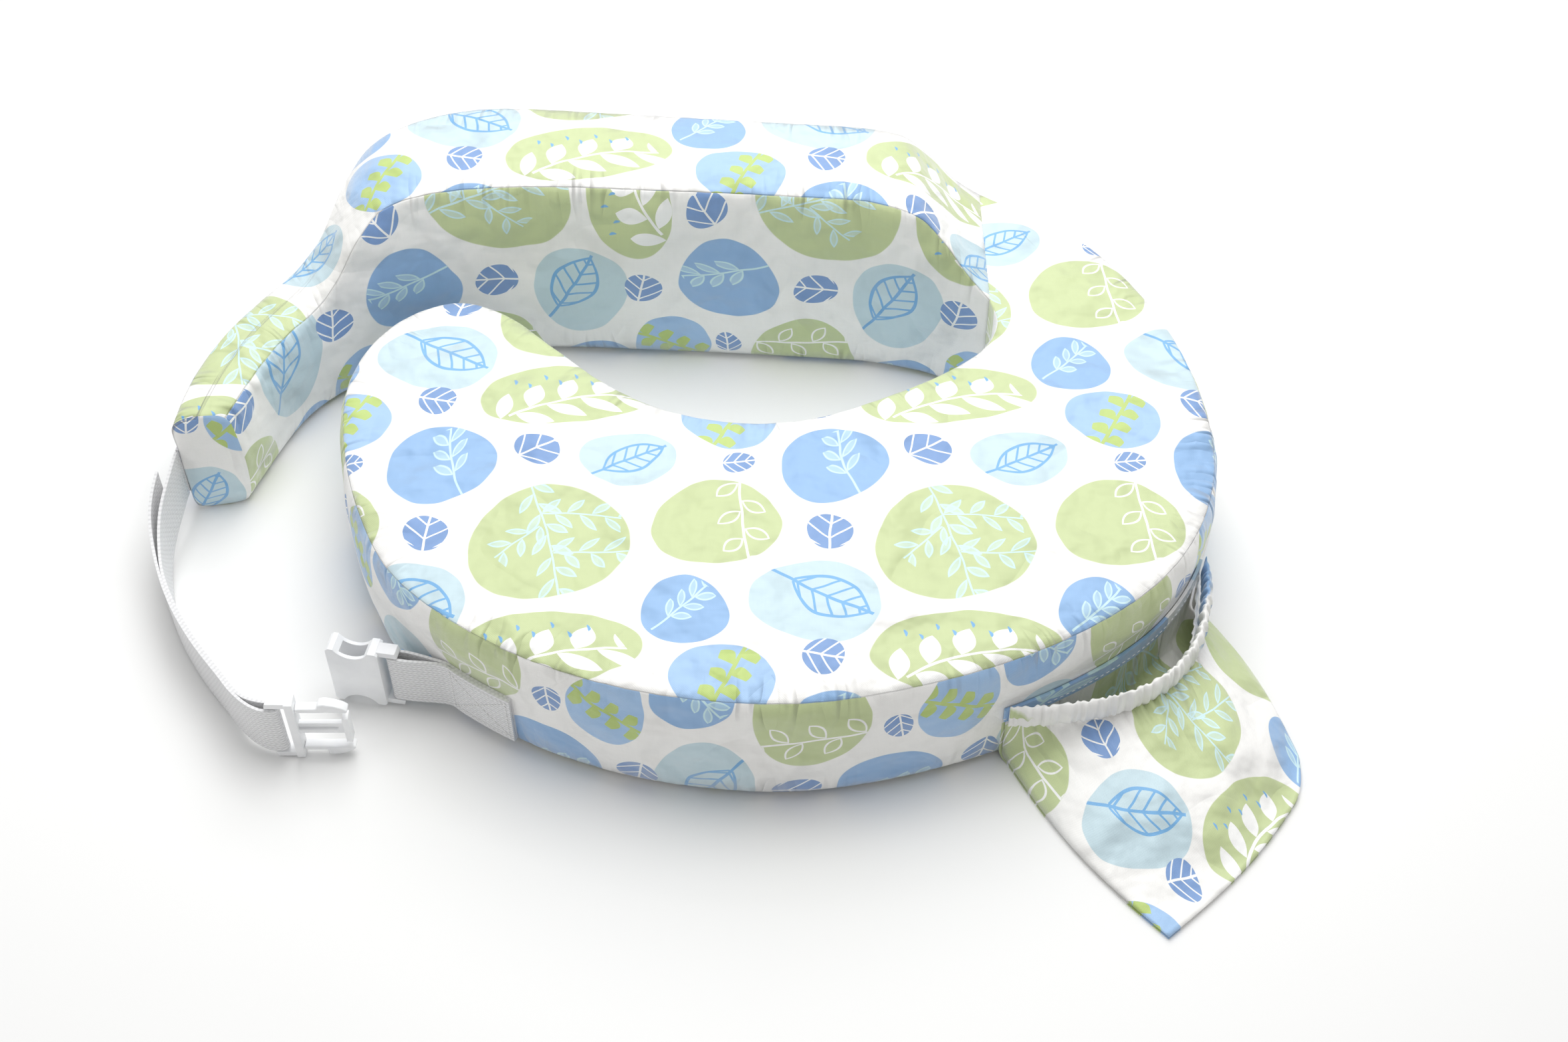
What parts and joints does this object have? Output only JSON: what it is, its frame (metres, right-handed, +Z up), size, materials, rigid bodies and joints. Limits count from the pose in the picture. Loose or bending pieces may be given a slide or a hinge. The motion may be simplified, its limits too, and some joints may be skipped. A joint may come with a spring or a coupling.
{
  "type": "nursing pillow",
  "caption": "Crescent feeding cushion with a flat foam shelf, a taller wrap-round backrest, printed cotton cover, webbing strap with side-release buckle and elastic-mouthed side pocket.",
  "frame": {"origin": "under the middle of the whole part, on the surface the pillow lies on", "axes": "+Z up from the underside, +X from the strap's side to the pocket's side, +Y from the front of the shelf to the backrest"},
  "size_m": [0.7172, 0.5602, 0.1481],
  "materials": {
    "printed_cotton": "matte cotton printed with leaf ovals",
    "foam": "open-cell foam",
    "webbing": "ribbed woven webbing",
    "thread": "sewing thread",
    "buckle_plastic": "satin moulded plastic",
    "zip_tape": "woven tape",
    "zip_nylon": "nylon coil",
    "zip_metal": "satin",
    "label_satin": "satin"
  },
  "bodies": {
    "shelf": {"shelf_foam": "foam", "shelf_top_panel": "printed_cotton", "shelf_base_panel": "printed_cotton", "shelf_outer_wall": "printed_cotton", "shelf_torso_wall": "printed_cotton", "buckle_tab_webbing": "webbing", "buckle_tab_stitching": "thread"},
    "backrest": {"backrest_foam": "foam", "backrest_base_panel": "printed_cotton", "backrest_top_panel": "printed_cotton", "backrest_inner_wall": "printed_cotton", "backrest_outer_wall": "printed_cotton", "backrest_end_panel": "printed_cotton", "strap_sewn_end": "webbing", "strap_sewn_stitching": "thread", "zip_upper_tape": "zip_tape", "zip_lower_tape": "zip_tape", "zip_teeth": "zip_nylon", "zip_closed_stop": "zip_metal", "zip_open_stop": "zip_metal", "care_label": "label_satin"},
    "zip_slider": {"zip_slider": "zip_metal"},
    "zip_pull": {"zip_pull_tab": "zip_metal"},
    "strap": {"strap_webbing": "webbing"},
    "buckle_plug": {"buckle_plug_frame": "buckle_plastic"},
    "upper_prong": {"buckle_upper_prong": "buckle_plastic"},
    "lower_prong": {"buckle_lower_prong": "buckle_plastic"},
    "buckle_socket": {"buckle_socket": "buckle_plastic"},
    "pocket": {"pocket_back_panel": "printed_cotton", "pocket_front_panel": "printed_cotton", "pocket_back_hem": "printed_cotton", "pocket_elastic_casing": "printed_cotton"}
  },
  "joints": [
    {"name": "backrest_open", "type": "hinge", "parent": "shelf", "child": "backrest", "pos_m": [0.17935, 0.25288, 0], "axis": [0, 0, -1], "range_deg": [0, 18], "stiffness_Nm_per_rad": 5},
    {"name": "strap_swing", "type": "hinge", "parent": "backrest", "child": "strap", "pos_m": [-0.34282, 0.03797, 0.0361], "axis": [0, 0, -1], "range_deg": [-6, 70]},
    {"name": "plug_swivel", "type": "hinge", "parent": "strap", "child": "buckle_plug", "pos_m": [-0.25165, -0.15552, 0.0253], "axis": [0, 0, 1], "range_deg": [-25, 25]},
    {"name": "upper_prong_squeeze", "type": "hinge", "parent": "buckle_plug", "child": "upper_prong", "pos_m": [-0.23835, -0.15552, 0.0433], "axis": [0, 1, 0], "range_deg": [0, 6], "stiffness_Nm_per_rad": 0.3},
    {"name": "lower_prong_squeeze", "type": "hinge", "parent": "buckle_plug", "child": "lower_prong", "pos_m": [-0.23835, -0.15552, 0.0073], "axis": [0, -1, 0], "range_deg": [0, 6], "stiffness_Nm_per_rad": 0.3},
    {"name": "socket_swivel", "type": "hinge", "parent": "shelf", "child": "buckle_socket", "pos_m": [-0.18665, -0.11802, 0.0261], "axis": [0, 0, 1], "range_deg": [-20, 20]},
    {"name": "pocket_lift", "type": "hinge", "parent": "shelf", "child": "pocket", "pos_m": [0.1886, -0.17007, 0.0468], "axis": [-0.7316, -0.6817, 0], "range_deg": [0, 50]},
    {"name": "zip_slide", "type": "slide", "parent": "backrest", "child": "zip_slider", "axis": [0.9958, -0.0915, 0], "range_m": [0, 0.15]},
    {"name": "zip_pull_swing", "type": "hinge", "parent": "zip_slider", "child": "zip_pull", "pos_m": [-0.07866, 0.27779, 0.032], "axis": [0, 0, 1], "range_deg": [0, 150]}
  ]
}
